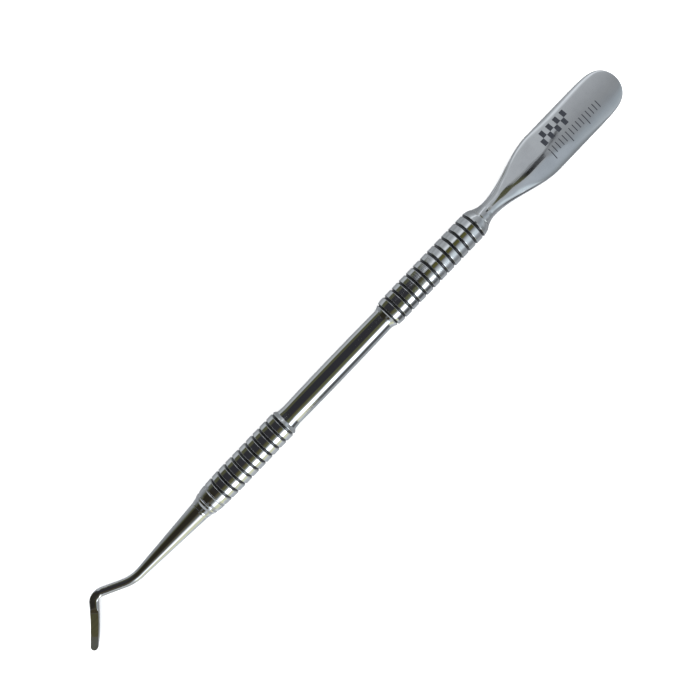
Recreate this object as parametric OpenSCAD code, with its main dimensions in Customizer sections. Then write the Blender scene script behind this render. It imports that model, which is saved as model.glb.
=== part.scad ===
// Double-ended dental elevator. The handle's axis runs along X at axis_h above the
// surface that the instrument lies on. The blade points to +X and the hook to -X.

/* [Handle] */
// Diameter of the lower ringed grip
lower_grip_d = 6.0; // [5.8:0.05:6.1]
// Diameter of the upper ringed grip
upper_grip_d = 6.1; // [5.9:0.05:6.2]
// Largest diameter of the smooth shaft between the grips
shaft_d = 4.88; // [4.8:0.02:4.9]
// Distance from one ring groove to the next on the upper grip
upper_pitch = 2.035; // [1.95:0.005:2.04]
// Distance from one ring groove to the next on the lower grip
lower_pitch = 1.97; // [1.9:0.005:2.0]
// Width of a ring groove at the surface
groove_w = 0.6; // [0.5:0.05:0.7]
// Depth of a ring groove
groove_deep = 0.24; // [0.15:0.01:0.28]

/* [Blade] */
// Width of the blade
blade_w = 9.6; // [9:0.02:10]
// Diameter of the neck at its thinnest
neck_d = 3.46; // [3.3:0.02:3.6]
// Thickness of the blade near its tip
tip_thick = 0.4; // [0.3:0.05:0.6]
// Radius of the spoon's hollow across the blade
spoon_r = 12.5; // [11:0.5:16]
// How far the tip's middle lies below the handle's axis
tip_drop = 2.5; // [1.6:0.1:2.5]

/* [Hook] */
// Diameter of the shank where it leaves the handle
shank_d = 4.1; // [3.9:0.05:4.2]
// Diameter of the shank where the first bend starts
bend_d = 2.08; // [2:0.02:2.16]
// Diameter between the two bends
thin_d = 1.84; // [1.76:0.02:1.9]
// Angle of the first bend
first_bend = 26; // [24:1:28]
// Angle from the first bend's run to the pick, at the second bend
second_bend = 111; // [108:1:112]
// Length of the straight pick after the second bend
pick_len = 9.8; // [9:0.1:10.2]
// Width of the flat pick at its middle
pick_w = 1.6; // [1.5:0.02:1.7]
// Thickness of the flat pick
pick_thick = 1.0; // [0.9:0.05:1.2]

/* [Joints] */
// Diameter of the working ends' tangs
tang_d = 2.6; // [2.4:0.1:2.8]
// Length of the working ends' tangs inside the grips
tang_len = 9; // [7:0.5:10]
// Diameter of the shaft's spigots
spigot_d = 3.4; // [3.2:0.1:3.6]
// Length of the shaft's spigots inside the grips
spigot_len = 9; // [7:0.5:10]
// Gap all round a tang or spigot, which the solder fills
solder_gap = 0.03; // [0.02:0.01:0.05]
// Width and depth of the solder ring at each joint
braze_w = 0.2; // [0.15:0.01:0.25]

/* [Scale] */
// Length of the filled scale bar, one cell of it for each millimetre
bar_cells = 8; // [6:1:8]
// Number of tick marks, one for each millimetre
tick_count = 15; // [11:1:15]
// Depth of the engraved marks
mark_deep = 0.1; // [0.08:0.01:0.12]

/* [Hidden] */
axis_h = upper_grip_d / 2;
// Places along X of the four joints, the ends of the grips
blade_joint = 38.5;
upper_joint = 10.2;
lower_joint = -15.8;
hook_joint = -42.2;
// The radius at the shaft's two ends and at the roots of the blade and the hook
shaft_end_r = 2.33;
blade_root_r = 2.36;
hook_root_r = 2.16;
// Where the shaft is thickest
shaft_mid = (upper_joint + lower_joint) / 2;
// First groove of each grip and number of full-depth grooves
upper_groove_x = 11.82;
upper_grooves = 13;
lower_groove_x = -18.5;
lower_grooves = 10;
// The lower grip's last two rings lie on its tapered nose and are only scratches
faint_grooves = 2;
faint_deep = 0.06;
groove_r = (groove_w * groove_w / 4 + groove_deep * groove_deep) / (2 * groove_deep);
// The blade: start of the loft, ends of the flare, and tip
neck_x = 41.2;
flare_start = 41;
flare_end = 57;
tip_x = 78.73;
tip_round = 14;
tip_power = 7.2;
edge_round = 0.9;
ridge_round = 0.3;
blade_steps = 36;
blade_sides = 32;
// The hook: where the first bend starts, the bends' radii and the run between them
bend_x = -59.6;
bend_r1 = 9;
bend_r2 = 2.2;
mid_run = 4.6;
hook_sides = 24;
// First tick and cell, and the two rows of marks
scale_x = 57.9;
cell_w = 1.4;
tick_w = 0.2;

// ---------- shared helpers ----------

function clamp01(v) = min(max(v, 0), 1);
function smooth(v) = let(c = clamp01(v)) c * c * (3 - 2 * c);

// Turns a profile about the handle's axis. The profile has its radius along X and
// its place along the handle in Y.
module turned() {
    translate([0, 0, axis_h]) rotate([0, 90, 0]) rotate_extrude($fn = 96) children();
}

// A rectangle of the profile plane, from radius 0 to r, between two places x0 and x1
module disc(r, x0, x1) {
    translate([0, x0]) square([r, x1 - x0]);
}

// The 2D cut of one ring groove in a surface of radius r at place x
module groove(r, x, deep) {
    translate([r - deep + groove_r, x]) circle(r = groove_r, $fn = 48);
}

// A closed skin over rings of points that all have the same number of points
module skin(rings) {
    n = len(rings[0]);
    last = len(rings) - 1;
    sides = [for (j = [0:last - 1], i = [0:n - 1], h = [0, 1])
        let(k = (i + 1) % n)
        h == 0 ? [j * n + i, (j + 1) * n + i, (j + 1) * n + k]
               : [j * n + i, (j + 1) * n + k, j * n + k]];
    caps = [[for (i = [0:n - 1]) i], [for (i = [n - 1:-1:0]) last * n + i]];
    polyhedron(points = [for (r = rings) each r], faces = concat(sides, caps));
}

// ---------- blade ----------

// Half of the blade's width at place x
function half_w(x) =
    let(open = neck_d / 2 + (blade_w - neck_d) / 2 * smooth((x - flare_start) / (flare_end - flare_start)))
    let(t = clamp01((x - tip_x + tip_round) / tip_round))
    open * sqrt(max(1 - pow(t, tip_power), 0));

// Half of the blade's thickness at place x, rounded off over the last stretch
function half_t(x) =
    let(u = clamp01((x - neck_x) / (tip_x - neck_x)))
    let(e = clamp01((x - tip_x + edge_round) / edge_round))
    (tip_thick / 2 + (neck_d - tip_thick) / 2 * pow(1 - u, 1.9)) * sqrt(max(1 - pow(e, 4), 0));

// Height of the blade's middle at place x
function mid_z(x) = axis_h - tip_drop * pow(clamp01((x - neck_x) / (tip_x - neck_x)), 1.7);

// The section turns from a circle at the neck into a thin, hollowed spoon
function flatness(x) = 2 + 4 * smooth((x - neck_x) / 16);
function bow(x) = smooth((x - neck_x - 2) / 16) / spoon_r / 2;

// A soft ridge runs from the neck into the upper face: how far the face falls off beside it
function ridge(x, y) =
    let(steep = 0.12 * smooth((x - 44) / 4) * (1 - smooth((x - 54) / 9)))
    let(crest = -smooth((x - 44) / 8))
    steep * (norm([y - crest, ridge_round]) - norm([crest, ridge_round])) * (1 - pow(y / half_w(x), 4));

// Height of the blade's upper face over a place and a side offset
function top_z(x, y) =
    mid_z(x) - bow(x) * y * y - ridge(x, y)
    + half_t(x) * sqrt(max(1 - pow(abs(y) / half_w(x), flatness(x)), 0));

function blade_ring(x) = [for (i = [0:blade_sides - 1])
    let(a = 360 * i / blade_sides)
    let(y = half_w(x) * cos(a))
    let(h = half_t(x) * sqrt(max(1 - pow(abs(cos(a)), flatness(x)), 0)))
    [x, y, mid_z(x) - bow(x) * y * y + (sin(a) < 0 ? -h : h - ridge(x, y))]];

// The loft starts a little inside the turned neck, and its rings close up towards the tip
function blade_x(i) = neck_x - 0.1 + (tip_x - neck_x + 0.1) * sin(90 * i / blade_steps);

module blade_body() {
    skin([for (i = [0:blade_steps - 1]) blade_ring(blade_x(i))]);
    // the neck ends in a cone inside the loft
    turned() {
        disc(tang_d / 2, blade_joint - tang_len, blade_joint + 0.5);
        polygon([[0, blade_joint], [blade_root_r, blade_joint], [2.06, blade_joint + 0.6],
            [1.88, blade_joint + 1.2], [1.79, blade_joint + 1.9],
            [neck_d / 2 + 0.02, blade_joint + 2.4], [neck_d / 2 + 0.02, neck_x],
            [neck_d / 2 - 0.3, neck_x + 0.4], [0, neck_x + 0.4]]);
    }
}

// One engraved mark: a block laid on the blade's upper face, lx by ly,
// reaching down into the steel by mark_deep and up by rise
module mark(x, y, lx, ly, rise) {
    pitch = atan((top_z(x - 0.5, y) - top_z(x + 0.5, y)) / 1);
    roll = atan((top_z(x, y + 0.2) - top_z(x, y - 0.2)) / 0.4);
    translate([x, y, top_z(x, y)]) rotate([roll, pitch, 0])
        translate([-lx / 2, -ly / 2, -mark_deep]) cube([lx, ly, mark_deep + rise]);
}

// Ticks: one for each millimetre, and every fifth is longer
module ticks(rise) {
    for (i = [0:tick_count - 1]) {
        long = i % 5 == 0 ? 2.6 : 1.7;
        mark(scale_x + i, -0.3 - long / 2, tick_w, long, rise);
    }
}

// Bar: two rows of cells, filled in turn
module bar(rise) {
    for (i = [0:bar_cells - 1])
        mark(scale_x + 0.5 + i, 0.5 + cell_w / 2 + (i % 2) * cell_w, 1, cell_w, rise);
}

module blade_end() {
    color("silver") difference() {
        blade_body();
        ticks(0.5);
        bar(0.5);
    }
}

module scale_ticks() {
    color("dimgray") ticks(-0.02);
}

module scale_bar() {
    color("dimgray") bar(-0.02);
}

// ---------- handle ----------

// The groove that the solder ring fills, cut at place x into a surface of radius r.
// side is 1 where the ring lies on the +X side of the joint's face, and -1 on the other.
module braze_cut(r, x, side) {
    translate([r - braze_w, side > 0 ? x : x - braze_w]) square([1, braze_w]);
}

module upper_grip() {
    r = upper_grip_d / 2;
    color("silver") turned() difference() {
        polygon([[0, upper_joint], [shaft_end_r, upper_joint], [2.44, 10.9], [2.66, 11.4],
            [2.86, 11.82], [r - 0.08, 12.3], [r, 13.1], [r, 36.2], [r - 0.04, 36.8], [2.92, 37.3],
            [2.72, 37.9], [blade_root_r, blade_joint], [0, blade_joint]]);
        disc(spigot_d / 2 + solder_gap, upper_joint - 1, blade_joint - tang_len - 0.4);
        disc(tang_d / 2 + solder_gap, upper_joint, blade_joint + 1);
        for (i = [0:upper_grooves - 1])
            groove(i == 0 ? r - 0.2 : r, upper_groove_x + i * upper_pitch, groove_deep);
        braze_cut(shaft_end_r, upper_joint, 1);
        braze_cut(blade_root_r, blade_joint, -1);
    }
}

module lower_grip() {
    r = lower_grip_d / 2;
    color("silver") turned() difference() {
        polygon([[0, hook_joint], [hook_root_r, hook_joint], [2.36, -41.2], [2.64, -40.4],
            [2.77, -39.5], [2.86, -38.4], [2.94, -36.4], [r, -34.2], [r, -19.3], [2.97, -18.2],
            [2.92, -18.0], [2.54, -17.3], [2.42, -16.7], [2.37, -16.2], [shaft_end_r, lower_joint],
            [0, lower_joint]]);
        disc(spigot_d / 2 + solder_gap, hook_joint + tang_len + 0.4, lower_joint + 1);
        disc(tang_d / 2 + solder_gap, hook_joint - 1, lower_joint);
        for (i = [0:lower_grooves - 1])
            groove(r, lower_groove_x - i * lower_pitch, groove_deep);
        for (i = [0:faint_grooves - 1])
            groove(i == 0 ? 2.83 : 2.6, lower_groove_x - (lower_grooves + i) * lower_pitch, faint_deep);
        braze_cut(shaft_end_r, lower_joint, -1);
        braze_cut(hook_root_r, hook_joint, 1);
    }
}

// Radius of the smooth shaft at place x, slightly barrelled
function shaft_r(x) =
    let(u = (x - shaft_mid) / (upper_joint - shaft_mid))
    shaft_d / 2 - (shaft_d / 2 - shaft_end_r) * u * u;

module centre_shaft() {
    steps = 20;
    run = upper_joint - lower_joint;
    color("silver") turned() {
        polygon(concat([[0, lower_joint]],
            [for (i = [0:steps]) let(x = lower_joint + run * i / steps) [shaft_r(x), x]],
            [[0, upper_joint]]));
        disc(spigot_d / 2, lower_joint - spigot_len, upper_joint + spigot_len);
    }
}

// A solder ring, flush with a surface of radius r
module braze_ring(r, x, side) {
    color("gainsboro") turned()
        translate([r - braze_w, side > 0 ? x : x - braze_w]) square([braze_w, braze_w]);
}

module blade_braze() {
    braze_ring(blade_root_r, blade_joint, -1);
}

module upper_shaft_braze() {
    braze_ring(shaft_end_r, upper_joint, 1);
}

module lower_shaft_braze() {
    braze_ring(shaft_end_r, lower_joint, -1);
}

module hook_braze() {
    braze_ring(hook_root_r, hook_joint, 1);
}

// ---------- hook ----------

// Lengths along the hook's middle line: first bend, middle run, second bend, pick
second_turn = 180 - second_bend;
arc1 = bend_r1 * first_bend * PI / 180;
arc2 = bend_r2 * second_turn * PI / 180;
hook_len = arc1 + mid_run + arc2 + pick_len;

// A step of length s in heading a, and a bend of radius r from heading a to heading b,
// both as offsets in the XY plane. Headings are measured from -X towards +Y.
function step(s, a) = [-s * cos(a), s * sin(a)];
function bend(r, a, b) = let(k = a < b ? 1 : -1) k * r * [-(sin(b) - sin(a)), cos(a) - cos(b)];

// Heading and place at length s along the hook's middle line
heading2 = first_bend - second_turn;
function hook_heading(s) =
    s < arc1 ? first_bend * s / arc1
    : s < arc1 + mid_run ? first_bend
    : s < arc1 + mid_run + arc2 ? first_bend - second_turn * (s - arc1 - mid_run) / arc2
    : heading2;
function hook_place(s) =
    [bend_x - min(s, 0), 0] + bend(bend_r1, 0, first_bend * clamp01(s / arc1))
    + step(min(max(s - arc1, 0), mid_run), first_bend)
    + bend(bend_r2, first_bend, first_bend - second_turn * clamp01((s - arc1 - mid_run) / arc2))
    + step(max(s - arc1 - mid_run - arc2, 0), heading2);

// Radius before the pick: it thins over the first bend
function thin_r(s) = thin_d / 2 + (bend_d - thin_d) / 2 * (1 - clamp01(s / arc1));

// Half width and half thickness: round to the second bend, then a flat pick
// whose end is rounded in plan and bevelled in thickness
pick_start = hook_len - pick_len;
function pick_part(s) = clamp01((s - pick_start) / pick_len);
function hook_end_round(s) = let(e = clamp01((s - hook_len + pick_w / 2) / (pick_w / 2))) sqrt(1 - e * e);
function hook_w(s) =
    let(p = pick_part(s))
    (thin_r(s) + (pick_w - thin_d) / 2 * smooth((s - pick_start + arc2) / (arc2 + 6))
        + 0.03 * sin(180 * p) - 0.06 * smooth(2 * p - 1)) * hook_end_round(s);
function hook_t(s) =
    let(p = pick_part(s))
    thin_r(s) + (pick_thick - thin_d) / 2 * smooth(p / 0.22) - 0.28 * clamp01((p - 0.72) / 0.28);
function hook_flat(s) = 2 + 3 * smooth(pick_part(s) / 0.3);

// The pick leaves the second bend a little to its outer side and is bowed towards the shank
function hook_bow(s) =
    let(p = pick_part(s))
    0.2 * smooth((s - pick_start + arc2) / arc2) * (1 - p) * (1 - p) - 0.17 * sin(180 * p);

function hook_ring(s) =
    let(p = hook_place(s), h = hook_heading(s), w = hook_w(s), t = hook_t(s), k = hook_flat(s))
    [for (i = [0:hook_sides - 1])
        let(a = -360 * i / hook_sides)
        let(q = hook_bow(s) + w * cos(a))
        let(z = (sin(a) < 0 ? -t : t) * pow(max(1 - pow(abs(cos(a)), k), 0), 1 / k))
        [p[0] + q * sin(h), p[1] + q * cos(h), axis_h + z]];

// Places of the rings: even steps, closer in the bends and at the tip
hook_stops = concat(
    [-0.3],
    [for (i = [0:5]) arc1 * i / 5],
    [for (i = [0:9]) arc1 + mid_run + arc2 * i / 9],
    [for (i = [1:12]) pick_start + (pick_len - pick_w / 2) * i / 12],
    [for (i = [1:5]) hook_len - pick_w / 2 * (1 - sin(90 * i / 5.6))]);

module hook_end() {
    color("silver") {
        turned() {
            disc(tang_d / 2, hook_joint - 0.5, hook_joint + tang_len);
            polygon([[0, bend_x], [bend_d / 2 + 0.01, bend_x], [shank_d / 2, hook_joint - 1],
                [hook_root_r - 0.03, hook_joint], [0, hook_joint]]);
        }
        skin([for (s = hook_stops) hook_ring(s)]);
    }
}

// ---------- output ----------

blade_end();
upper_grip();
centre_shaft();
lower_grip();
hook_end();
blade_braze();
upper_shaft_braze();
lower_shaft_braze();
hook_braze();
scale_ticks();
scale_bar();
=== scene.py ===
"""Looks for the double-ended dental elevator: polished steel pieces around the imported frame."""

import math

import bpy
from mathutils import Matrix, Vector


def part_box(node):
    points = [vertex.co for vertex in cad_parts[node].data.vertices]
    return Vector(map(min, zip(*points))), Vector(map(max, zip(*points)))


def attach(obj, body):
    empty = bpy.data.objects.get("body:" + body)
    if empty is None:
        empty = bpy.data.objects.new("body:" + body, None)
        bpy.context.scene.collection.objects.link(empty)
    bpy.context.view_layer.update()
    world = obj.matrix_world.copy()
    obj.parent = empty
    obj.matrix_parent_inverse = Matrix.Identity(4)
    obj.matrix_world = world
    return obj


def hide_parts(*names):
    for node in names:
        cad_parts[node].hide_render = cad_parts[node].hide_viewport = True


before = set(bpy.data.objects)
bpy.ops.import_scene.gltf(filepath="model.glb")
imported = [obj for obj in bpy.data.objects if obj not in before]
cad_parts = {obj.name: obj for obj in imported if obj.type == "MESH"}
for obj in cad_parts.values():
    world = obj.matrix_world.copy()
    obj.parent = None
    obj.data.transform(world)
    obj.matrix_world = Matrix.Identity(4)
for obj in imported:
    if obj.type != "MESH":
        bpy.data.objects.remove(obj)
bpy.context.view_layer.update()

MM = 0.001
SIDES = 160  # segments round a turned piece
SHARP = math.radians(38)  # faces that meet at a greater angle than this have a sharp edge
ARC_STEP = 9  # degrees of an arc for each of its segments
ARC_SHARE = 0.48  # share of a straight run that the arc at one of its ends may take up
BORE_LIMIT = 1.9  # radius that is above every bore and below every groove


# ---------- sizes, in millimetres, from the frame ----------

def span(node):
    """Lowest and highest corner of a CAD node, in millimetres."""
    low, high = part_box(node)
    return low / MM, high / MM


GRIP_LOW, GRIP_HIGH = span("upper_grip")
LOWER_LOW, LOWER_HIGH = span("lower_grip")
BLADE_LOW, BLADE_HIGH = span("blade_end")
HOOK_HIGH = span("hook_end")[1]
SHAFT_LOW, SHAFT_HIGH = span("centre_shaft")
AXIS_Z = (GRIP_LOW.z + GRIP_HIGH.z) / 2
UPPER_R = (GRIP_HIGH.z - GRIP_LOW.z) / 2
LOWER_R = (LOWER_HIGH.z - LOWER_LOW.z) / 2
SHAFT_R = (SHAFT_HIGH.z - SHAFT_LOW.z) / 2
BLADE_JOINT = GRIP_HIGH.x
UPPER_JOINT = GRIP_LOW.x
LOWER_JOINT = LOWER_HIGH.x
HOOK_JOINT = LOWER_LOW.x
TANG_R = 1.3
SPIGOT_R = 1.7
GAP = 0.03  # solder film round a tang or spigot
BORE_END = 0.4  # how far a grip's bore runs past its tang
SHAFT_END_R = 2.33
BLADE_ROOT_R = 2.36
HOOK_ROOT_R = 2.16
BRAZE = 0.2  # width and depth of a solder ring


# ---------- mesh helpers ----------

def clamp01(value):
    return min(max(value, 0.0), 1.0)


def smooth(value):
    value = clamp01(value)
    return value * value * (3 - 2 * value)


def make_piece(name, points, faces, nodes, material):
    """A smooth-shaded mesh piece from points in millimetres, riding on the one body."""
    mesh = bpy.data.meshes.new(name)
    mesh.from_pydata([tuple(c * MM for c in p) for p in points], [], faces)
    mesh.update()
    for poly in mesh.polygons:
        poly.use_smooth = True
    mesh.set_sharp_from_angle(angle=SHARP)
    mesh.materials.append(material)
    piece = bpy.data.objects.new(name, mesh)
    bpy.context.scene.collection.objects.link(piece)
    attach(piece, "root")
    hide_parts(*nodes)
    return piece


def rounded(outline, support=0.04):
    """A profile of (x, r, radius) corners as (x, r) points, each corner an arc of its radius.

    Straight runs get a support point near each end, so that smooth shading stays flat on them.
    """
    points = []
    count = len(outline)
    for i, (x, r, radius) in enumerate(outline):
        here = Vector((x, r))
        before = Vector(outline[(i - 1) % count][:2])
        after = Vector(outline[(i + 1) % count][:2])
        way_in, way_out = (here - before).normalized(), (after - here).normalized()
        turn = way_in.angle_signed(way_out, 0.0)
        reach = min((here - before).length, (after - here).length) * ARC_SHARE
        cut = min(abs(math.tan(turn / 2)) * radius, reach) if radius else 0.0
        if cut < 1e-4:
            for away in (-support, 0.0, support):
                way = way_in if away < 0 else way_out
                if abs(away) < reach:
                    points.append(here + way * away)
            continue
        arc_r = cut / abs(math.tan(turn / 2))
        start = here - way_in * cut
        side = 1 if turn > 0 else -1
        centre = start + Vector((way_in.y, -way_in.x)) * arc_r * side
        steps = max(3, math.ceil(abs(math.degrees(turn)) / ARC_STEP))
        spoke = start - centre
        edge = min(support, reach - cut) if reach > cut else 0.0
        if edge > 1e-3:
            points.append(start - way_in * edge)
        for k in range(steps + 1):
            angle = -turn * k / steps
            ca, sa = math.cos(angle), math.sin(angle)
            points.append(centre + Vector((spoke.x * ca - spoke.y * sa, spoke.x * sa + spoke.y * ca)))
        if edge > 1e-3:
            points.append(here + way_out * (cut + edge))
    return [(p.x, p.y) for p in points]


def lathe(name, profile, nodes, material, cuts=()):
    """A closed ring of (x, r) points turned round the handle's axis.

    cuts holds (x, half width, radius) for the painted shade in each ring groove, which is partly
    polishing residue. Faces that lie within it and below its radius get the darkened groove material.
    """
    points, faces = [], []
    count = len(profile)
    for j in range(SIDES):
        angle = 2 * math.pi * j / SIDES
        ca, sa = math.cos(angle), math.sin(angle)
        points += [(x, r * ca, AXIS_Z + r * sa) for x, r in profile]
    for j in range(SIDES):
        k = (j + 1) % SIDES
        for i in range(count):
            m = (i + 1) % count
            faces.append((j * count + i, k * count + i, k * count + m, j * count + m))
    piece = make_piece(name, points, faces, nodes, material)
    # faces inside the grooves get darkened steel: painted shade, partly polishing residue
    if cuts:
        piece.data.materials.append(GROOVE_SHADE_AND_RESIDUE)
        for poly in piece.data.polygons:
            i = poly.index % count
            (x0, r0), (x1, r1) = profile[i], profile[(i + 1) % count]
            x, r = (x0 + x1) / 2, (r0 + r1) / 2
            if any(abs(x - place) < half and BORE_LIMIT < r < top for place, half, top in cuts):
                poly.material_index = 1
    return piece


def loft(name, rings, nodes, material):
    """A closed skin over rings of equally many points, capped at both ends."""
    count = len(rings[0])
    points = [p for ring in rings for p in ring]
    faces = [tuple(range(count - 1, -1, -1)), tuple(range(len(points) - count, len(points)))]
    for j in range(len(rings) - 1):
        for i in range(count):
            k = (i + 1) % count
            faces.append((j * count + i, j * count + k, (j + 1) * count + k, (j + 1) * count + i))
    return make_piece(name, points, faces, nodes, material)


def round_ring(x, r, count):
    """A circle of points about the handle's axis."""
    turns = [2 * math.pi * i / count for i in range(count)]
    return [(x, r * math.cos(a), AXIS_Z + r * math.sin(a)) for a in turns]


# ---------- materials ----------

class Graph:
    """A short way to write a node tree."""

    def __init__(self, tree):
        self.tree = tree
        tree.nodes.clear()

    def add(self, kind, **inputs):
        """A node with inputs set by name (_ for a space), each to a value or another node's socket."""
        node = self.tree.nodes.new(kind)
        for key, value in inputs.items():
            self.feed(node, key.replace("_", " "), value)
        return node

    def feed(self, node, key, value):
        socket = node.inputs[int(key[1:])] if key[0] == "i" and key[1:].isdigit() else node.inputs[key]
        if isinstance(value, bpy.types.NodeSocket):
            self.tree.links.new(value, socket)
        else:
            socket.default_value = value

    def math(self, operation, first, second=0.0):
        node = self.tree.nodes.new("ShaderNodeMath")
        node.operation = operation
        self.feed(node, "i0", first)
        self.feed(node, "i1", second)
        return node.outputs[0]

    def blend(self, share, first, second):
        """A colour mixed from first to second by share."""
        node = self.tree.nodes.new("ShaderNodeMix")
        node.data_type = "RGBA"
        self.feed(node, "i0", share)
        self.feed(node, "i6", first)
        self.feed(node, "i7", second)
        return node.outputs[2]

    def ease(self, value, low, high, out_low=0.0, out_high=1.0):
        """A smooth step of value from low to high, as out_low to out_high."""
        node = self.tree.nodes.new("ShaderNodeMapRange")
        node.interpolation_type = "SMOOTHSTEP"
        for key, item in zip(("i0", "i1", "i2", "i3", "i4"), (value, low, high, out_low, out_high)):
            self.feed(node, key, item)
        return node.outputs[0]

    def noise(self, scale, detail=3.0, roughness=0.5, stretch=(1, 1, 1)):
        """Noise over the piece's own space, in metres, with scale cells a metre times stretch."""
        place = self.add("ShaderNodeTexCoord").outputs["Object"]
        mapped = self.add("ShaderNodeMapping", Vector=place, Scale=stretch).outputs[0]
        node = self.add("ShaderNodeTexNoise", Vector=mapped, Scale=scale, Detail=detail, Roughness=roughness)
        return node.outputs[0]

    def ramp(self, value, stops):
        """A colour ramp over (position, colour) stops."""
        node = self.tree.nodes.new("ShaderNodeValToRGB")
        elements = node.color_ramp.elements
        while len(elements) < len(stops):
            elements.new(0.5)
        for element, (position, colour) in zip(elements, stops):
            element.position = position
            element.color = (*colour, 1)
        self.feed(node, "i0", value)
        return node.outputs[0]

    def finish(self, shader, kind="ShaderNodeOutputMaterial"):
        """Joins the shader to the tree's output."""
        end = self.add(kind)
        self.tree.links.new(shader.outputs[0], end.inputs["Surface"])


GRAIN_HEIGHT = 0.02 * MM


def new_material(name):
    material = bpy.data.materials.new(name)
    material.use_nodes = True
    return material, Graph(material.node_tree)


def steel(name, colour, shade, gloss, scale, stretch, strength, anisotropy=0.0):
    """Polished steel: smears that change its gloss, a faint change of colour, and fine polishing lines.

    gloss is the roughness of clean and of smeared steel. The lines have scale cells a metre, times
    stretch, and strength says how deep they are.
    """
    material, g = new_material(name)
    clouds = g.noise(220, detail=4.0, roughness=0.6)
    grain = g.noise(scale, detail=2.0, stretch=stretch)
    tint = g.blend(g.ease(clouds, 0.35, 0.7), (*colour, 1), (*shade, 1))
    smears = g.ease(clouds, 0.4, 0.75, *gloss)
    rough = g.math("ADD", smears, g.math("MULTIPLY", grain, 0.03))
    lines = g.add("ShaderNodeBump", Height=grain, Strength=strength, Distance=GRAIN_HEIGHT)
    wave = g.noise(90, detail=1.0)
    swell = g.add("ShaderNodeBump", Height=wave, Strength=0.05, Distance=0.0002, Normal=lines.outputs[0])
    shader = g.add(
        "ShaderNodeBsdfPrincipled", Base_Color=tint, Metallic=1.0, Roughness=rough,
        Anisotropic=anisotropy, Normal=swell.outputs[0],
    )
    g.finish(shader)
    return material


def filling():
    """Dark matt filling in the engraved marks, slightly uneven."""
    material, g = new_material("mark_filling")
    grain = g.noise(3000, detail=3.0)
    tint = g.blend(grain, (0.008, 0.009, 0.012, 1), (0.035, 0.038, 0.046, 1))
    bump = g.add("ShaderNodeBump", Height=grain, Strength=0.3, Distance=GRAIN_HEIGHT)
    shader = g.add(
        "ShaderNodeBsdfPrincipled", Base_Color=tint, Roughness=g.ease(grain, 0.2, 0.8, 0.5, 0.75),
        Specular_IOR_Level=0.3, Normal=bump.outputs[0],
    )
    g.finish(shader)
    return material


STEEL = (0.60, 0.605, 0.61)
POLISHED = steel(
    "polished_steel", STEEL, (0.56, 0.565, 0.57), gloss=(0.035, 0.075),
    scale=2500, stretch=(3.0, 0.05, 0.05), strength=0.12,
)
DRAWN = steel(
    "drawn_steel", STEEL, (0.55, 0.55, 0.55), gloss=(0.04, 0.08),
    scale=3000, stretch=(0.02, 1.0, 1.0), strength=0.6,
)
SATIN = steel(
    "satin_steel", STEEL, (0.56, 0.565, 0.575), gloss=(0.05, 0.1),
    scale=2500, stretch=(0.04, 1.5, 1.5), strength=0.25, anisotropy=0.3,
)
SOLDER = steel(
    "solder", (0.59, 0.585, 0.57), (0.54, 0.535, 0.52), gloss=(0.08, 0.16),
    scale=4000, stretch=(1, 1, 1), strength=0.3,
)
# darkened steel for the ring grooves: painted shade, partly polishing residue
GROOVE_SHADE_AND_RESIDUE = steel(
    "groove_shade_and_residue", (0.12, 0.125, 0.13), (0.05, 0.05, 0.055), gloss=(0.16, 0.28),
    scale=4000, stretch=(2.0, 0.1, 0.1), strength=0.3,
)
FILLING = filling()


# ---------- handle ----------

LIP, ROOT = 0.11, 0.1  # rounding of a groove's lips and of its floor's corners
GROOVE_W = 0.6
GROOVE_DEEP = 0.24
FLOOR_SHARE = 0.18  # half of the floor's width, as a share of the groove's
UPPER_PITCH, LOWER_PITCH = 2.035, 1.97
UPPER_GROOVES, LOWER_GROOVES = 13, 10
DARK_UPPER, DARK_LOWER = 0.28, 0.21  # half width of the painted shade in a groove, partly polishing residue
DARK_SHIFT = 0.06  # how far that painted shade lies towards the blade on the lower grip
DARK_TOP = 0.02  # how far it stays below the rings
NOSE_X, NOSE_RUN, NOSE_DROP = -34.6, 1.8, 0.05  # where the lower grip's last rings get thinner


def groove(x, r, width=GROOVE_W, deep=GROOVE_DEEP):
    """Corners of one ring groove at place x in a surface of radius r."""
    half, floor = width / 2, width * FLOOR_SHARE
    return [
        (x - half, r, LIP), (x - floor, r - deep, ROOT),
        (x + floor, r - deep, ROOT), (x + half, r, LIP),
    ]


def upper_grip():
    """The barrel at the blade's end. Its first groove is also the step down to the shaft."""
    r = UPPER_R
    first = UPPER_JOINT + 1.62
    outline = [
        (UPPER_JOINT, SHAFT_END_R - BRAZE, 0), (UPPER_JOINT + BRAZE, SHAFT_END_R - BRAZE, 0),
        (UPPER_JOINT + BRAZE, SHAFT_END_R + 0.005, 0), (UPPER_JOINT + 0.7, 2.44, 1.2),
        (first - 0.4, 2.66, 0.4), (first - 0.2, 2.8, 0.04), (first - 0.1, r - 0.5, 0.1),
        (first + 0.1, r - 0.5, 0.1), (first + 0.22, r - 0.12, 0.06), (first + 0.6, r - 0.05, 0.6),
        (first + 1.2, r, 1.5),
    ]
    cuts = [(first, 0.21, r - 0.15)]
    for i in range(1, UPPER_GROOVES):
        x = first + i * UPPER_PITCH
        outline += groove(x, r)
        cuts.append((x, DARK_UPPER, r - DARK_TOP))
    outline += [
        (BLADE_JOINT - 1.7, r - 0.04, 1.2), (BLADE_JOINT - 1.2, 2.92, 1.0), (BLADE_JOINT - 0.6, 2.72, 1.0),
        (BLADE_JOINT - BRAZE, 2.47, 0.03), (BLADE_JOINT - BRAZE, BLADE_ROOT_R - BRAZE, 0),
        (BLADE_JOINT, BLADE_ROOT_R - BRAZE, 0),
        (BLADE_JOINT, TANG_R + GAP, 0), (BLADE_LOW.x - BORE_END, TANG_R + GAP, 0),
        (BLADE_LOW.x - BORE_END, SPIGOT_R + GAP, 0), (UPPER_JOINT, SPIGOT_R + GAP, 0),
    ]
    lathe("upper_grip_steel", rounded(outline), ["upper_grip"], POLISHED, cuts)


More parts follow.
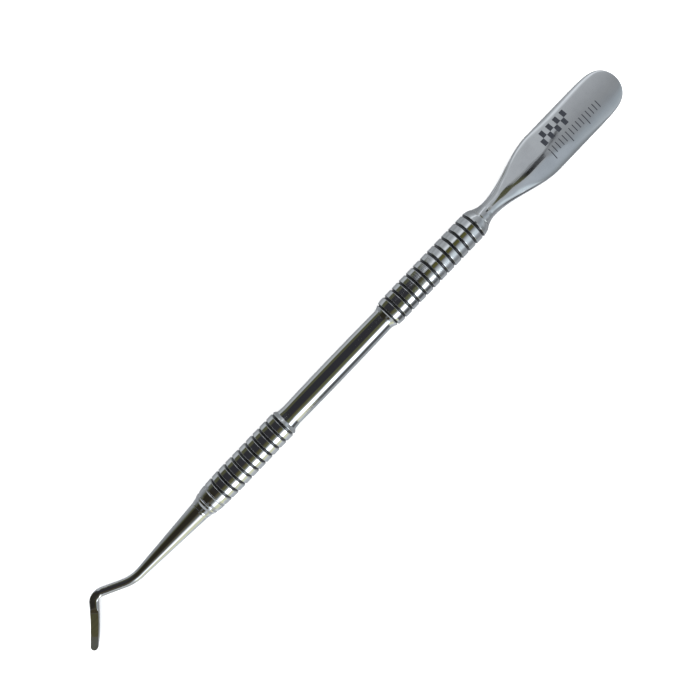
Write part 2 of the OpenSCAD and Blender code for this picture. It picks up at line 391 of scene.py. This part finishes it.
def lower_grip():
    """The barrel at the hook's end, with two faint grooves on its tapered nose."""
    r = LOWER_R
    first = LOWER_JOINT - 2.7
    outline = [
        (HOOK_JOINT, TANG_R + GAP, 0), (HOOK_JOINT, HOOK_ROOT_R - BRAZE, 0),
        (HOOK_JOINT + BRAZE, HOOK_ROOT_R - BRAZE, 0), (HOOK_JOINT + BRAZE, 2.18, 0),
        (-41.2, 2.36, 1.2), (-40.75, 2.56, 0.2),
    ]
    outline += groove(first - (LOWER_GROOVES + 1) * LOWER_PITCH, 2.64, width=0.34, deep=0.09)
    outline += [(-39.5, 2.77, 0.5)]
    outline += groove(first - LOWER_GROOVES * LOWER_PITCH, 2.86, width=0.4, deep=0.12)
    outline += [(-37.6, 2.90, 2.0)]
    cuts = []
    for i in reversed(range(LOWER_GROOVES)):
        x = first - i * LOWER_PITCH
        top = r - NOSE_DROP * clamp01((NOSE_X - x) / NOSE_RUN)
        outline += groove(x, top)
        cuts.append((x + DARK_SHIFT, DARK_LOWER, top - DARK_TOP))
    outline += [
        (first + 0.5, 2.92, 0.12), (first + 1.02, 2.47, 0.12), (first + 1.9, 2.385, 1.0),
        (LOWER_JOINT - BRAZE, SHAFT_END_R + 0.005, 0), (LOWER_JOINT - BRAZE, SHAFT_END_R - BRAZE, 0),
        (LOWER_JOINT, SHAFT_END_R - BRAZE, 0), (LOWER_JOINT, SPIGOT_R + GAP, 0),
        (HOOK_HIGH.x + BORE_END, SPIGOT_R + GAP, 0), (HOOK_HIGH.x + BORE_END, TANG_R + GAP, 0),
    ]
    lathe("lower_grip_steel", rounded(outline), ["lower_grip"], POLISHED, cuts)


def centre_shaft():
    """The slightly barrelled shaft and its two spigots."""
    middle, half = (UPPER_JOINT + LOWER_JOINT) / 2, (UPPER_JOINT - LOWER_JOINT) / 2
    outline = [(SHAFT_LOW.x, 0.01, 0), (SHAFT_LOW.x, SPIGOT_R, 0.2), (LOWER_JOINT, SPIGOT_R, 0)]
    steps = 24
    for i in range(steps + 1):
        u = 2 * i / steps - 1
        r = SHAFT_R - (SHAFT_R - SHAFT_END_R) * u * u
        corner = 0 if i in (0, steps) else 60
        outline.append((middle + half * u, r, corner))
    outline += [(UPPER_JOINT, SPIGOT_R, 0), (SHAFT_HIGH.x, SPIGOT_R, 0.2), (SHAFT_HIGH.x, 0.01, 0)]
    lathe("centre_shaft_steel", rounded(outline), ["centre_shaft"], POLISHED)


def braze_ring(name, node, r):
    """A ring of solder, flush with a joint of radius r."""
    low, high = span(node)
    outline = [(low.x, r - BRAZE, 0), (low.x, r, 0), (high.x, r, 0), (high.x, r - BRAZE, 0)]
    lathe(name, rounded(outline, 0.01), [node], SOLDER)


upper_grip()
lower_grip()
centre_shaft()
braze_ring("blade_solder", "blade_braze", BLADE_ROOT_R)
braze_ring("upper_shaft_solder", "upper_shaft_braze", SHAFT_END_R)
braze_ring("lower_shaft_solder", "lower_shaft_braze", SHAFT_END_R)
braze_ring("hook_solder", "hook_braze", HOOK_ROOT_R)


# ---------- blade ----------

NECK_X, NECK_R = 41.2, 1.73
TIP_X = 78.69
FLARE_START, FLARE_END = 41, 57
TIP_RUN, TIP_POWER = 14, 7.2  # the tip's outline: its length, and how square it is
BLADE_HALF = BLADE_HIGH.y - 0.004
TIP_THICK, THIN_POWER = 0.4, 1.9  # thickness near the tip, and how soon the blade gets thin
EDGE_RUN = 0.9  # the last stretch, where the thickness is rounded off
SPOON_R, SPOON_RUN = 12.5, 16  # hollow across the blade, and the length over which it forms
TIP_DROP, DROP_POWER = 2.5, 1.7
RIDGE_X, RIDGE_STEEP, RIDGE_ROUND = 44, 0.12, 0.3
BLADE_SIDES, BLADE_STEPS = 160, 170


def blade_half_width(x):
    open_w = NECK_R + (BLADE_HALF - NECK_R) * smooth((x - FLARE_START) / (FLARE_END - FLARE_START))
    t = clamp01((x - TIP_X + TIP_RUN) / TIP_RUN)
    return open_w * math.sqrt(max(1 - t ** TIP_POWER, 0))


def blade_half_thick(x):
    u = clamp01((x - NECK_X) / (TIP_X - NECK_X))
    e = clamp01((x - TIP_X + EDGE_RUN) / EDGE_RUN)
    thick = TIP_THICK / 2 + (NECK_R - TIP_THICK / 2) * (1 - u) ** THIN_POWER
    return thick * math.sqrt(max(1 - e ** 4, 0))


def blade_middle(x):
    return AXIS_Z - TIP_DROP * clamp01((x - NECK_X) / (TIP_X - NECK_X)) ** DROP_POWER


def blade_point(x, side, top):
    """A point of the blade's skin at place x. side runs from -1 to 1 across, top is 1 or -1."""
    y = blade_half_width(x) * side
    flatness = 2 + 4 * smooth((x - NECK_X) / SPOON_RUN)
    bow = smooth((x - NECK_X - 2) / SPOON_RUN) / SPOON_R / 2
    height = blade_half_thick(x) * math.sqrt(max(1 - abs(side) ** flatness, 0))
    if top > 0:
        height -= blade_ridge(x, y)
    return (x, y, blade_middle(x) - bow * y * y + top * height)


def blade_ridge(x, y):
    """How far the upper face falls off on both sides of the soft ridge that runs from the neck."""
    steep = RIDGE_STEEP * smooth((x - RIDGE_X) / 4) * (1 - smooth((x - RIDGE_X - 12) / 7))
    crest = -smooth((x - RIDGE_X) / 8)
    fall = math.hypot(y - crest, RIDGE_ROUND) - math.hypot(crest, RIDGE_ROUND)
    return steep * fall * (1 - (y / blade_half_width(x)) ** 4)


def blade_ring(x):
    ring = []
    for i in range(BLADE_SIDES):
        angle = 2 * math.pi * i / BLADE_SIDES
        ring.append(blade_point(x, math.cos(angle), 1 if math.sin(angle) >= 0 else -1))
    return ring


def blade():
    """Tang, turned neck and spoon, as one skin."""
    neck = [
        (BLADE_LOW.x, 0.02, 0), (BLADE_LOW.x, TANG_R, 0.2), (BLADE_JOINT, TANG_R, 0),
        (BLADE_JOINT, BLADE_ROOT_R - 0.01, 0.03), (BLADE_JOINT + 0.6, 2.06, 1.5),
        (BLADE_JOINT + 1.2, 1.87, 1.5), (BLADE_JOINT + 1.9, 1.765, 3), (NECK_X, NECK_R, 0),
    ]
    rings = [round_ring(x, r, BLADE_SIDES) for x, r in rounded(neck)[2:-3]]
    for i in range(BLADE_STEPS):
        rings.append(blade_ring(NECK_X + (TIP_X - NECK_X) * math.sin(math.pi / 2 * i / BLADE_STEPS)))
    loft("blade_steel", rings, ["blade_end"], SATIN)


MARK_LIFT, MARK_SINK = 0.006, -0.03  # a mark's top and bottom, from the blade's face


def marks(name, node, places):
    """Thin filled marks laid on the blade's upper face. places holds (x, y, length, width)."""
    points, faces = [], []
    across, along = 6, 3
    for x0, y0, lx, ly in places:
        base = len(points)
        for lift in (MARK_LIFT, MARK_SINK):
            for i in range(along + 1):
                for j in range(across + 1):
                    x = x0 + lx * (i / along - 0.5)
                    y = y0 + ly * (j / across - 0.5)
                    place = blade_point(x, y / blade_half_width(x), 1)
                    points.append((place[0], place[1], place[2] + lift))
        row, sheet = across + 1, (along + 1) * (across + 1)
        for i in range(along):
            for j in range(across):
                a = base + i * row + j
                faces.append((a, a + row, a + row + 1, a + 1))
                faces.append((a + sheet, a + sheet + 1, a + sheet + row + 1, a + sheet + row))
        rim = [base + j for j in range(across + 1)]
        rim += [base + i * row + across for i in range(1, along + 1)]
        rim += [base + along * row + j for j in range(across - 1, -1, -1)]
        rim += [base + i * row for i in range(along - 1, 0, -1)]
        for a, b in zip(rim, rim[1:] + rim[:1]):
            faces.append((a, b, b + sheet, a + sheet))
    piece = make_piece(name, points, faces, [node], FILLING)
    for poly in piece.data.polygons:
        poly.use_smooth = False


def scale():
    """Ticks 1 mm apart, every fifth longer, beside a bar with two rows of 1 mm cells."""
    first, tick, cell = 57.9, 0.2, 1.4
    ticks = []
    for i in range(15):
        long = 2.6 if i % 5 == 0 else 1.7
        ticks.append((first + i, -0.3 - long / 2, tick, long))
    cells = [(first + 0.5 + i, 0.5 + cell / 2 + (i % 2) * cell, 1, cell) for i in range(8)]
    marks("tick_marks", "scale_ticks", ticks)
    marks("bar_cells", "scale_bar", cells)


blade()
scale()


# ---------- hook ----------

BEND_X = -59.6
BEND_R1, BEND_R2 = 9.0, 2.2
TURN_1, TURN_2 = math.radians(26), math.radians(69)
ARC_1, ARC_2 = BEND_R1 * TURN_1, BEND_R2 * TURN_2
MID_RUN = 4.6
PICK_LEN = 9.785
HOOK_LEN = ARC_1 + MID_RUN + ARC_2 + PICK_LEN
PICK_START = HOOK_LEN - PICK_LEN
BEND_R, THIN_R = 1.04, 0.92  # radii before and after the first bend
PICK_HALF, PICK_HIGH = 0.77, 0.8  # half width and half height of the pick before it is ground
PICK_FLAT = 0.52  # half thickness between its ground faces
PICK_BEVEL = 0.36  # how much more is ground off at its very end
PICK_ROLL = 0.1  # slope of the ground faces across the pick
PICK_BOW = 0.17  # how far its middle is bowed towards the shank
SHANK_R = 2.05
SHANK_X = HOOK_JOINT - 1  # where the taper starts
HOOK_SIDES = 96


def bend(radius, start, end):
    """The offset of an arc whose heading turns from start to end, from -X towards +Y."""
    k = radius if start < end else -radius
    return Vector((-k * (math.sin(end) - math.sin(start)), k * (math.cos(start) - math.cos(end))))


def hook_place(s):
    """The middle line's point at length s from the first bend, and its heading."""
    head = TURN_1 - TURN_2
    place = Vector((BEND_X, 0)) + bend(BEND_R1, 0, TURN_1 * clamp01(s / ARC_1))
    run = min(max(s - ARC_1, 0), MID_RUN)
    place += run * Vector((-math.cos(TURN_1), math.sin(TURN_1)))
    share = clamp01((s - ARC_1 - MID_RUN) / ARC_2)
    if share > 0:
        place += bend(BEND_R2, TURN_1, TURN_1 - TURN_2 * share)
    place += max(s - PICK_START, 0) * Vector((-math.cos(head), math.sin(head)))
    return place, TURN_1 * clamp01(s / ARC_1) - TURN_2 * share


def hook_ring(s):
    """One section: round, squarer after the second bend, then ground flat, with a bevelled end."""
    place, head = hook_place(s)
    p = clamp01((s - PICK_START) / PICK_LEN)
    e = clamp01((s - HOOK_LEN + PICK_HALF) / PICK_HALF)
    tip = math.sqrt(max(1 - e * e, 0.0))
    round_r = THIN_R + (BEND_R - THIN_R) * (1 - clamp01(s / ARC_1))
    turned = smooth((s - PICK_START + ARC_2) / ARC_2)
    wide = round_r + (PICK_HALF - THIN_R) * smooth((s - PICK_START + ARC_2) / (ARC_2 + 6))
    wide = (wide + 0.03 * math.sin(math.pi * p) - 0.06 * smooth(2 * p - 1)) * tip
    high = round_r + (PICK_HIGH - THIN_R) * turned
    flat = high - (high - PICK_FLAT) * clamp01((p - 0.13) / 0.10)
    flat -= PICK_BEVEL * clamp01((p - 0.70) / 0.30)
    sideways = 0.2 * turned * (1 - p) ** 2 - PICK_BOW * math.sin(math.pi * p)
    square = 1 - 0.6 * smooth(2 * (s - PICK_START + ARC_2) / ARC_2)
    ring = []
    for i in range(HOOK_SIDES):
        angle = 2 * math.pi * i / HOOK_SIDES
        ca, sa = math.cos(angle), math.sin(angle)
        q = sideways + wide * math.copysign(abs(ca) ** square, ca)
        roll = PICK_ROLL * (q - sideways) * smooth(p / 0.2)
        z = min(max(high * math.copysign(abs(sa) ** square, sa), -flat + roll), flat + roll)
        ring.append((place.x + q * math.sin(head), place.y + q * math.cos(head), AXIS_Z + z))
    return ring


def hook():
    """Pick, bends, shank and tang, as one skin from the tip to the handle."""
    stops = [HOOK_LEN - PICK_HALF * (1 - math.sin(math.pi / 2 * i / 14.2)) for i in range(14, 0, -1)]
    run = PICK_LEN - PICK_HALF
    stops += [PICK_START + run * i / 90 for i in range(90, 0, -1)]
    stops += [ARC_1 + MID_RUN + ARC_2 * i / 30 for i in range(30, -1, -1)]
    stops += [ARC_1 * i / 24 for i in range(24, 0, -1)]
    rings = [hook_ring(s) for s in stops]
    for i in range(41):
        share = i / 40
        r = BEND_R + (SHANK_R - BEND_R) * share
        rings.append(round_ring(BEND_X + (SHANK_X - BEND_X) * share, r, HOOK_SIDES))
    root = [
        (SHANK_X, SHANK_R, 0), (HOOK_JOINT - 0.4, SHANK_R + 0.03, 0.5), (HOOK_JOINT, 2.15, 0.02),
        (HOOK_JOINT, TANG_R, 0), (HOOK_HIGH.x, TANG_R, 0.2), (HOOK_HIGH.x, 0.02, 0),
    ]
    rings += [round_ring(x, r, HOOK_SIDES) for x, r in rounded(root)[3:-2]]
    loft("hook_steel", rings, ["hook_end"], DRAWN)


hook()


# ---------- stage, light and camera ----------

def floor():
    """A pale floor just under the instrument, which its steel doesn't mirror."""
    bpy.ops.mesh.primitive_plane_add(size=1.2, location=(0, 0, -0.02 * MM))
    plane = bpy.context.object
    plane.name = "floor"
    material, g = new_material("pale_floor")
    grain = g.noise(35, detail=3.0)
    tint = g.blend(grain, (0.88, 0.88, 0.88, 1), (0.91, 0.91, 0.91, 1))
    shader = g.add("ShaderNodeBsdfPrincipled", Base_Color=tint, Roughness=0.9)
    g.finish(shader)
    plane.data.materials.append(material)
    plane.visible_glossy = False


def studio():
    """The studio that the steel mirrors: a dark ceiling with a long softbox on the -Y side.

    Across is the angle from straight up towards -Y, and along the angle from there towards +X.
    Each strip is how the studio changes across, for one stretch along. The steel takes 0.6 of it.
    """
    world = bpy.data.worlds.new("studio")
    bpy.context.scene.world = world
    world.use_nodes = True
    g = Graph(world.node_tree)
    split = g.add("ShaderNodeSeparateXYZ", Vector=g.add("ShaderNodeTexCoord").outputs["Generated"])
    dx, dy, dz = split.outputs
    across = g.math("ARCTAN2", g.math("MULTIPLY", dy, -1.0), dz)
    along = g.math("DEGREES", g.math("ARCSINE", dx))
    turn = g.math("ADD", g.math("MULTIPLY", across, 0.5 / math.pi), 0.5)

    def strip(*stops):
        """A colour for each angle across, in degrees. A plain number is a slightly cool grey."""
        colours = [(0.965 * c, 1.02 * c, 1.075 * c) if isinstance(c, float) else c for _, c in stops]
        return g.ramp(turn, [(0.5 + angle / 360, c) for (angle, _), c in zip(stops, colours)])

    black = (0.022, 0.022, 0.026)
    soot = (0.018, 0.016, 0.011)
    brown = (0.030, 0.023, 0.011)
    olive = (0.060, 0.062, 0.035)
    moss = (0.085, 0.090, 0.045)
    straw = (0.50, 0.515, 0.37)
    blue = (0.45, 0.51, 0.55)
    cool = (0.34, 0.37, 0.395)
    # what the side away from the softbox mirrors, in two of the strips
    back = [
        (-180, 0.10), (-150, 0.2), (-133, 0.24), (-106, 0.35), (-96, 0.33), (-90, olive), (-66, olive),
        (-59, black),
    ]
    left = strip(
        *back, (-3, black), (5, (0.043, 0.040, 0.022)), (14, (0.078, 0.074, 0.038)), (26, moss),
        (36, 0.3), (42, 0.8), (48, 2.2), (66, 2.2), (72, 0.8), (78, straw), (93, straw), (101, 0.42),
        (120, 0.34), (150, 0.3), (180, 0.12),
    )
    shank = strip(
        (-180, 0.14), (-150, 0.26), (-116, 0.22), (-88, 0.17), (-70, olive), (-52, soot), (-10, soot),
        (2, (0.020, 0.019, 0.017)), (13, (0.066, 0.057, 0.031)), (22, (0.075, 0.08, 0.075)),
        (29, (0.085, 0.09, 0.08)), (35, 0.2), (43, 0.55), (50, 1.0), (66, 1.0), (75, straw),
        (104, straw), (118, 0.45), (150, 0.42), (180, 0.16),
    )
    middle = strip(
        *back, (3, black), (8, (0.070, 0.074, 0.040)), (28, moss), (35, 0.22), (42, 0.8), (48, 2.2),
        (64, 2.2), (70, 0.6), (78, 0.2), (86, 0.06), (100, 0.055), (108, 0.13), (120, 0.25),
        (150, 0.27), (180, 0.10),
    )
    near = strip(
        (-180, 0.10), (-150, 0.2), (-132, 0.21), (-112, 0.25), (-93, 0.21), (-80, 0.29), (-56, 0.26),
        (-42, 0.37), (-30, 0.56), (-22, 0.48), (-16, (0.05, 0.05, 0.025)), (-2, (0.070, 0.068, 0.020)),
        (7, (0.078, 0.074, 0.020)), (12, 0.09), (20, 0.22), (30, cool), (42, blue), (64, blue), (73, 0.30),
        (82, (0.19, 0.21, 0.23)), (100, 0.17), (116, 0.25), (150, 0.26), (180, 0.10),
    )
    flare = strip(
        (-180, 0.10), (-150, 0.16), (-100, 0.2), (-70, 0.3), (-54, 0.55), (-42, 0.32), (-10, 0.31),
        (10, (0.26, 0.27, 0.28)), (24, (0.29, 0.32, 0.35)), (46, (0.27, 0.30, 0.33)),
        (70, (0.18, 0.20, 0.21)), (95, 0.17), (120, 0.24), (150, 0.2), (180, 0.10),
    )
    far = strip(
        (-180, 0.10), (-150, 0.16), (-100, 0.2), (-66, 0.3), (-52, 0.62), (-42, 0.30), (-18, 0.255),
        (-4, 0.225), (8, 0.205), (20, (0.19, 0.205, 0.22)), (34, (0.235, 0.265, 0.29)),
        (60, (0.32, 0.35, 0.375)), (95, 0.19), (120, 0.24), (150, 0.2), (180, 0.10),
    )
    low = strip(
        (-180, 0.12), (-140, 0.22), (-104, 0.22), (-88, 0.11), (-66, olive), (-54, soot), (-4, soot),
        (5, (0.075, 0.08, 0.08)), (18, (0.075, 0.08, 0.08)), (26, brown), (38, (0.042, 0.036, 0.024)),
        (46, 0.12), (58, 0.4), (72, 0.4), (90, (0.33, 0.335, 0.26)), (104, 0.28), (140, 0.24), (180, 0.12),
    )
    end = strip((-180, 0.04), (-115, 0.04), (-85, 0.3), (85, 0.3), (115, 0.04), (180, 0.04))
    # a narrow dark streak crosses the flare strip: olive near the handle, then nearly black
    band = strip((-15, 0.0), (-11, 1.0), (7, 1.0), (11, 0.0))
    depth = g.blend(g.ease(along, 25.5, 27.0), (*olive, 1), (0.012, 0.012, 0.014, 1))
    streak = g.blend(band, flare, depth)
    # each strip takes over between two angles along; the near one's border leans back on both sides
    lean = g.math("SUBTRACT", along, g.math("MULTIPLY", g.math("ABSOLUTE", across), 0.6))
    colour = g.blend(g.ease(along, -19.0, -15.0), shank, left)
    colour = g.blend(g.ease(along, -5.4, -4.8), colour, middle)
    colour = g.blend(g.ease(lean, 6.0, 6.7), colour, near)
    colour = g.blend(g.ease(along, 14.0, 21.0), colour, flare)
    colour = g.blend(g.ease(along, 21.0, 22.8), colour, streak)
    colour = g.blend(g.ease(along, 29.3, 29.9), colour, far)
    colour = g.blend(g.ease(along, -33.0, -28.0), low, colour)
    colour = g.blend(g.ease(along, -53.0, -47.0), end, colour)
    seen = g.add("ShaderNodeLightPath").outputs["Is Camera Ray"]
    shown = g.blend(seen, colour, (0.45, 0.455, 0.46, 1))
    light = g.add("ShaderNodeBackground", Color=shown, Strength=2.0)
    g.finish(light, "ShaderNodeOutputWorld")


def fill_light():
    """A big soft light overhead that only the floor and the matt marks answer to."""
    data = bpy.data.lights.new("overhead", "AREA")
    data.shape = "RECTANGLE"
    data.size, data.size_y = 0.9, 0.9
    data.energy = 14
    light = bpy.data.objects.new("overhead", data)
    light.location = (0, 0, 0.8)
    light.visible_glossy = False
    bpy.context.scene.collection.objects.link(light)


def camera():
    """Straight above, with the handle rising at 46 degrees to the right."""
    slope = math.radians(46.23)
    target = Vector((1.44, 0.55, AXIS_Z)) * MM
    distance = 182 * MM
    frame_width = 140 * MM
    data = bpy.data.cameras.new("camera")
    data.sensor_width = 36
    data.lens = data.sensor_width * distance / frame_width
    data.clip_start, data.clip_end = 0.01, 20
    cam = bpy.data.objects.new("camera", data)
    cam.location = target + Vector((0, 0, distance))
    cam.rotation_euler = (0, 0, -slope)
    bpy.context.scene.collection.objects.link(cam)
    bpy.context.scene.camera = cam


floor()
studio()
fill_light()
camera()
bpy.context.scene.view_settings.view_transform = "Standard"
